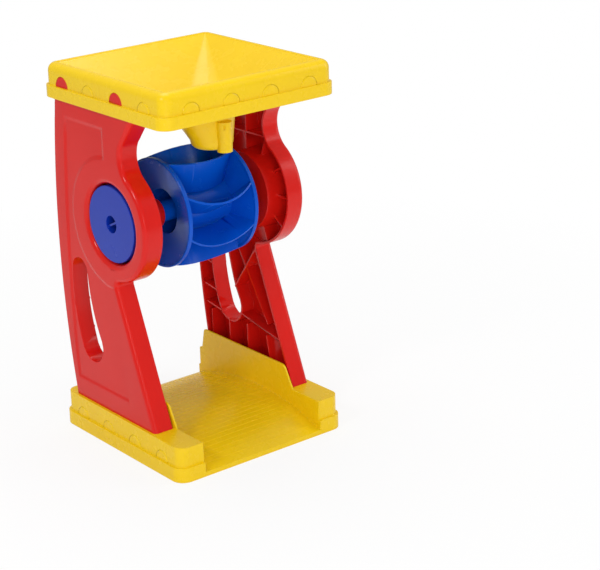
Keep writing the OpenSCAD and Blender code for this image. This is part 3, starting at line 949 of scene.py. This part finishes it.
class SANDWHEEL_OT_base(bpy.types.Operator):
    """Base tray with its raised half rounds and the fine ribs of its floor."""

    bl_idname = "sandwheel.base"
    bl_label = "Base tray"

    def execute(self, context):
        sizes = context_sizes()
        dressed_node("base_tray", "yellow_plastic", "frame")
        wall = BASE_HIGH.x - MARK_SEAT
        places = []
        for step in MARK_STEPS:
            places.append((wall, step * sizes.mark_pitch, BASE_MARK_HEIGHT, math.pi / 2))
            places.append((-wall, step * sizes.mark_pitch, BASE_MARK_HEIGHT, -math.pi / 2))
        half_rounds("base_half_rounds", places)
        half, rise = BASE_HIGH.x, FLOOR_CROWN - FLOOR_LIP
        grown(
            "floor_ribs",
            floor_rib_tree(),
            {
                "Count": sizes.floor_rib_count,
                "Half width": FLOOR_RIB_HALF,
                "Half run": half - FLOOR_RIB_MARGIN,
                "Arc radius": (half**2 + rise**2) / (2 * rise),
                "Crown": FLOOR_CROWN,
                "Line": sizes.floor_rib_line,
                "Material": materials()["yellow_plastic"],
            },
            "frame",
        )
        return {"FINISHED"}


# The side panels. Their forms are found by place: levels count from the toy's middle plane

PANEL_FACE = 0.0945  # level of the outer face
FIELD_FLOOR = 0.0933  # level of the sunk field
LEVEL_PLAY = 0.00002
FIELD_SLOPE = 0.0028  # width of the slope round the field
FIELD_ROUND = 0.0012  # width of the rounds above and below that slope
SLOPE_NORMAL = (0.8, 0.97)  # range of X in the slope's normal
WALL_NORMAL = 0.1  # most X in the normal of the step before it slopes
LEAST_MITRE = 0.5  # keeps the slope's corners from running out too far
HUB = Vector((0.0, 0.003, 0.230))  # on the wheel's axis
HUB_ZONE = 0.055  # edges nearer the hub than this aren't the field's
CUP_RADIUS = 0.0391  # inside the hub cup
CUP_ROUND = 0.00348  # radius of the round at its mouth
CUP_ROUND_PLAY = 0.00006
CUP_ROUND_FOOT = 0.0909  # that round lies above this level
CUP_ZONE = 0.045  # and within this radius
CUP_WIDEN = 1.7
CUP_DEEPEN = 1.5


def level(vert):
    """Distance from the toy's middle plane."""
    return abs(vert.co.x)


def on_level(vert, height):
    """True for a vertex at a level, give or take the play."""
    return abs(level(vert) - height) < LEVEL_PLAY


def slope_field(bm):
    """Turns the step round the panel's sunk field into a soft slope."""
    walls = {}
    for face in bm.faces:
        if abs(face.normal.x) > WALL_NORMAL:
            continue
        if all(on_level(v, PANEL_FACE) or on_level(v, FIELD_FLOOR) for v in face.verts):
            for vert in face.verts:
                if on_level(vert, FIELD_FLOOR):
                    walls.setdefault(vert, []).append(face.normal.copy())
    for vert, normals in walls.items():
        way = sum(normals, Vector()).normalized()
        vert.co += way * FIELD_SLOPE / max(way.dot(normals[0]), LEAST_MITRE)


def widen_cup_rim(bm):
    """Makes the round at the mouth of the hub cup broader and deeper."""
    for vert in bm.verts:
        arm = Vector((0.0, vert.co.y - HUB.y, vert.co.z - HUB.z))
        radius, height = arm.length, level(vert)
        off = math.hypot(radius - CUP_RADIUS - CUP_ROUND, height - PANEL_FACE + CUP_ROUND)
        on_round = abs(off - CUP_ROUND) < CUP_ROUND_PLAY
        if on_round and radius < CUP_ZONE and height > CUP_ROUND_FOOT:
            radius = CUP_RADIUS + (radius - CUP_RADIUS) * CUP_WIDEN
            height = PANEL_FACE - (PANEL_FACE - height) * CUP_DEEPEN
            arm = arm.normalized() * radius
            vert.co = Vector((math.copysign(height, vert.co.x), HUB.y + arm.y, HUB.z + arm.z))


def reshape_panel(bm):
    """Softens the step of the field and the mouth of the hub cup."""
    slope_field(bm)
    widen_cup_rim(bm)
    bm.normal_update()


def field_edge(edge):
    """True for the two edges of the slope round the sunk field."""
    a, b = edge.verts
    if not any(on_level(a, h) and on_level(b, h) for h in (PANEL_FACE, FIELD_FLOOR)):
        return False
    if math.hypot(a.co.y - HUB.y, a.co.z - HUB.z) < HUB_ZONE:
        return False
    low, high = SLOPE_NORMAL
    return any(low < abs(f.normal.x) < high for f in edge.link_faces)


class SANDWHEEL_OT_panels(bpy.types.Operator):
    """The two ribbed side panels."""

    bl_idname = "sandwheel.panels"
    bl_label = "Side panels"

    def execute(self, context):
        for side in ("left", "right"):
            dressed_node(
                "side_panel_" + side,
                "red_plastic",
                "frame",
                reshape=reshape_panel,
                wide=(field_edge, FIELD_ROUND),
            )
        return {"FINISHED"}


# The wheel

WHEEL_SHARE = 0.8  # of the edge width, on the wheel's thin mouldings
AXLE_SHARE = 0.5


class SANDWHEEL_OT_wheel(bpy.types.Operator):
    """Scoop drum, wheel discs and axle."""

    bl_idname = "sandwheel.wheel"
    bl_label = "Scoop wheel"

    def execute(self, context):
        for node in ("scoop_drum", "wheel_disc_left", "wheel_disc_right"):
            # drum and discs take the copy of the blue plastic that is painted lighter to stand in
            # for light
            dressed_node(node, "blue_plastic", "wheel", share=WHEEL_SHARE, look="wheel_plastic")
        dressed_node("axle", "blue_plastic", "wheel", share=AXLE_SHARE)
        return {"FINISHED"}


class SANDWHEEL_OT_caps(bpy.types.Operator):
    """The two hub caps."""

    bl_idname = "sandwheel.caps"
    bl_label = "Hub caps"

    def execute(self, context):
        for side in ("left", "right"):
            dressed_node("hub_cap_" + side, "blue_plastic", "wheel", share=WHEEL_SHARE)
        return {"FINISHED"}


# The studio

AIM = Vector((0.0, 0.0, 0.19))
FLOOR_HALF = 6.0
WORLD_LIGHT = 0.42
# name, place, width and height, watts, and whether the plastics mirror the lamp
LAMPS = (
    ("left_softbox", (-1.25, -0.30, 1.15), (0.25, 0.25), 4.5, True),
    ("front_softbox", (-0.75, -1.40, 0.50), (1.1, 0.8), 8.0, False),
    ("front_glint", (-1.10, -1.24, 0.50), (0.12, 0.12), 0.6, True),
    ("fill_softbox", (1.5, -0.9, 0.9), (0.8, 1.2), 7.0, True),
    ("top_softbox", (0.1, 0.3, 1.7), (1.2, 1.2), 13.0, True),
)
CAMERA_LENS = 106.82
CAMERA_SENSOR = 36.0
CAMERA_SHIFT = (0.17548, -0.06865)
CAMERA_REACH = 1.72754
CAMERA_CLIP = 50.0
CAMERA_TURN = (-35.64, 18.49, -2.60)  # azimuth, elevation and roll in degrees


def studio_floor(colour):
    """Square floor under the toy."""
    r = FLOOR_HALF
    mesh = bpy.data.meshes.new("studio_floor")
    mesh.from_pydata([(-r, -r, 0), (r, -r, 0), (r, r, 0), (-r, r, 0)], [], [(0, 1, 2, 3)])
    mesh.materials.append(floor_material(colour))
    new_object("studio_floor", mesh)


def studio_world(scene):
    """Even light from all round, which a camera sees as white."""
    scene.world = bpy.data.worlds.new("studio")
    scene.world.use_nodes = True
    tree = scene.world.node_tree
    path = tree.nodes.new("ShaderNodeLightPath").outputs
    seen = math_node(tree, "MAXIMUM", path["Is Camera Ray"], path["Is Transmission Ray"])
    strength = range_node(tree, seen, 0.0, 1.0, WORLD_LIGHT, 1.0)
    feed(tree, tree.nodes["Background"], {"Color": WHITE, "Strength": strength})


def area_light(name, place, size, power, glints):
    """Softbox turned to the toy. Without glints the plastics don't mirror it."""
    data = bpy.data.lights.new(name, "AREA")
    data.shape = "RECTANGLE"
    data.size, data.size_y = size
    data.energy = power
    obj = new_object(name, data)
    obj.location = place
    obj.rotation_euler = (AIM - Vector(place)).to_track_quat("-Z", "Y").to_euler()
    obj.visible_camera = False
    obj.visible_glossy = glints


def photo_camera():
    """Camera at the photograph's viewing angle."""
    data = bpy.data.cameras.new("photo_camera")
    data.sensor_fit = "HORIZONTAL"
    data.sensor_width = CAMERA_SENSOR
    data.lens = CAMERA_LENS
    data.shift_x, data.shift_y = CAMERA_SHIFT
    data.clip_end = CAMERA_CLIP
    azimuth, elevation, roll = (math.radians(v) for v in CAMERA_TURN)
    back = Vector(
        (
            math.sin(azimuth) * math.cos(elevation),
            -math.cos(azimuth) * math.cos(elevation),
            math.sin(elevation),
        )
    )
    right = Vector((math.cos(azimuth), math.sin(azimuth), 0.0))
    up = back.cross(right)
    across = right * math.cos(roll) + up * math.sin(roll)
    upward = up * math.cos(roll) - right * math.sin(roll)
    turn = Matrix((across, upward, back)).transposed().to_4x4()
    camera = new_object("photo_camera", data)
    camera.matrix_world = Matrix.Translation(AIM + back * CAMERA_REACH) @ turn
    return camera


class SANDWHEEL_OT_stage(bpy.types.Operator):
    """Studio floor, lamps, world and camera."""

    bl_idname = "sandwheel.stage"
    bl_label = "Studio"

    def execute(self, context):
        scene = context.scene
        scene.view_settings.view_transform = "Standard"
        studio_floor(tuple(scene.sandwheel_colours.floor))
        studio_world(scene)
        for lamp in LAMPS:
            area_light(*lamp)
        scene.camera = photo_camera()
        return {"FINISHED"}


class SANDWHEEL_PT_parts(bpy.types.Panel):
    """Lists the toy's pieces in the 3D view's sidebar."""

    bl_idname = "SANDWHEEL_PT_parts"
    bl_label = "Sand Wheel"
    bl_space_type = "VIEW_3D"
    bl_region_type = "UI"
    bl_category = "Sand Wheel"

    def draw(self, context):
        layout = self.layout
        for operator in OPERATORS:
            layout.operator(operator.bl_idname)
        for group in (context.scene.sandwheel_sizes, context.scene.sandwheel_colours):
            for key in group.bl_rna.properties.keys():
                if key not in ("rna_type", "name"):
                    layout.prop(group, key)


OPERATORS = (
    SANDWHEEL_OT_hopper,
    SANDWHEEL_OT_base,
    SANDWHEEL_OT_panels,
    SANDWHEEL_OT_wheel,
    SANDWHEEL_OT_caps,
    SANDWHEEL_OT_stage,
)
CLASSES = (SANDWHEEL_PG_sizes, SANDWHEEL_PG_colours) + OPERATORS + (SANDWHEEL_PT_parts,)


def register():
    for cls in CLASSES:
        bpy.utils.register_class(cls)
    bpy.types.Scene.sandwheel_sizes = PointerProperty(type=SANDWHEEL_PG_sizes)
    bpy.types.Scene.sandwheel_colours = PointerProperty(type=SANDWHEEL_PG_colours)


def unregister():
    del bpy.types.Scene.sandwheel_colours
    del bpy.types.Scene.sandwheel_sizes
    for cls in reversed(CLASSES):
        bpy.utils.unregister_class(cls)


def main():
    """Builds every piece in order."""
    register()
    bpy.ops.sandwheel.hopper()
    bpy.ops.sandwheel.base()
    bpy.ops.sandwheel.panels()
    bpy.ops.sandwheel.wheel()
    bpy.ops.sandwheel.caps()
    bpy.ops.sandwheel.stage()


if __name__ == "__main__":
    main()
